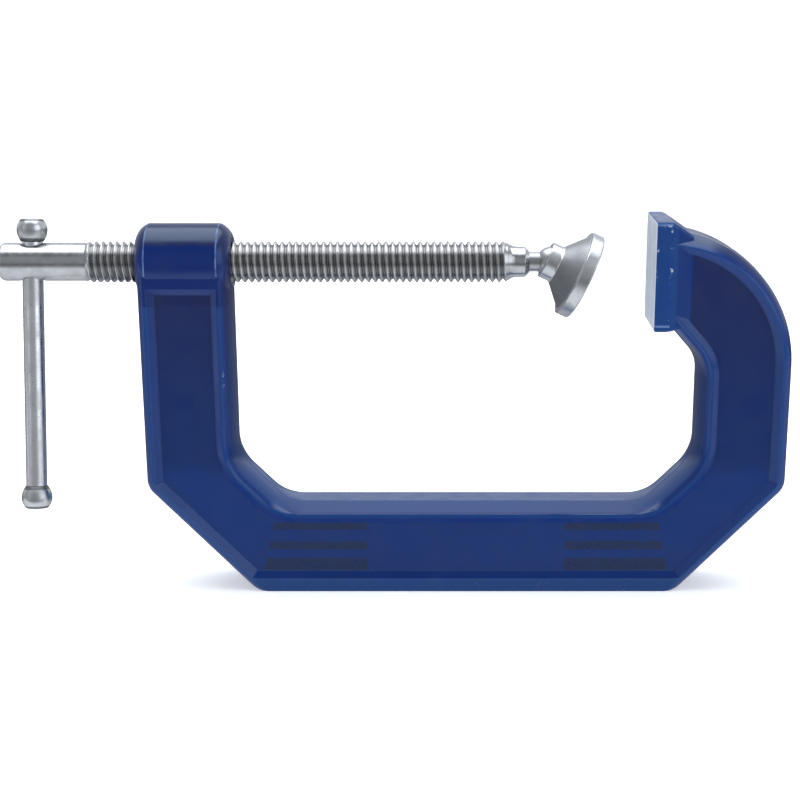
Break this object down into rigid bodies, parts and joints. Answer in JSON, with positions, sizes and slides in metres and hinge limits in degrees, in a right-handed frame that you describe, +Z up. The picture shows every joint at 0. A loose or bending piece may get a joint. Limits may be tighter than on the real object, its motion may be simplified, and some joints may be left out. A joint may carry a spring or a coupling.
{
  "type": "c clamp",
  "caption": "C clamp with a cast frame; a screw with a sliding tommy bar drives a swivel pad on a ball towards the anvil.",
  "frame": {"origin": "centre of the flat foot under the spine", "axes": "+X along the screw from its head to the anvil, +Y from the front face to the back face, +Z up from the foot to the screw"},
  "size_m": [0.2439, 0.0322, 0.118],
  "materials": {
    "blue_enamel": "glossy blue enamel on a casting",
    "rolled_steel": "plated steel with a rolled thread",
    "bright_steel": "bright plated steel"
  },
  "bodies": {
    "frame": {"frame": "blue_enamel"},
    "ball_stud": {"ball_stud": "rolled_steel"},
    "screw": {"screw": "rolled_steel"},
    "handle": {"handle_bar": "bright_steel", "handle_knob_upper": "bright_steel", "handle_knob_lower": "bright_steel"},
    "swivel_pad": {"swivel_pad": "bright_steel"}
  },
  "joints": [
    {"name": "screw_feed", "type": "slide", "parent": "frame", "child": "ball_stud", "axis": [1, 0, 0], "range_m": [-0.0826, 0.0128]},
    {"name": "screw_turn", "type": "hinge", "parent": "ball_stud", "child": "screw", "pos_m": [0.02605, 0, 0.104], "axis": [1, 0, 0], "range_deg": [-14040, 2160]},
    {"name": "handle_slide", "type": "slide", "parent": "screw", "child": "handle", "axis": [0, 0.1908, 0.9816], "range_m": [0, 0.063]},
    {"name": "pad_tilt", "type": "hinge", "parent": "ball_stud", "child": "swivel_pad", "pos_m": [0.02605, 0, 0.104], "axis": [0, -1, 0], "range_deg": [0, 50]}
  ],
  "couplings": [
    {"joint": "screw_feed", "follows": "screw_turn", "m_per_rad": 0.00033688}
  ]
}
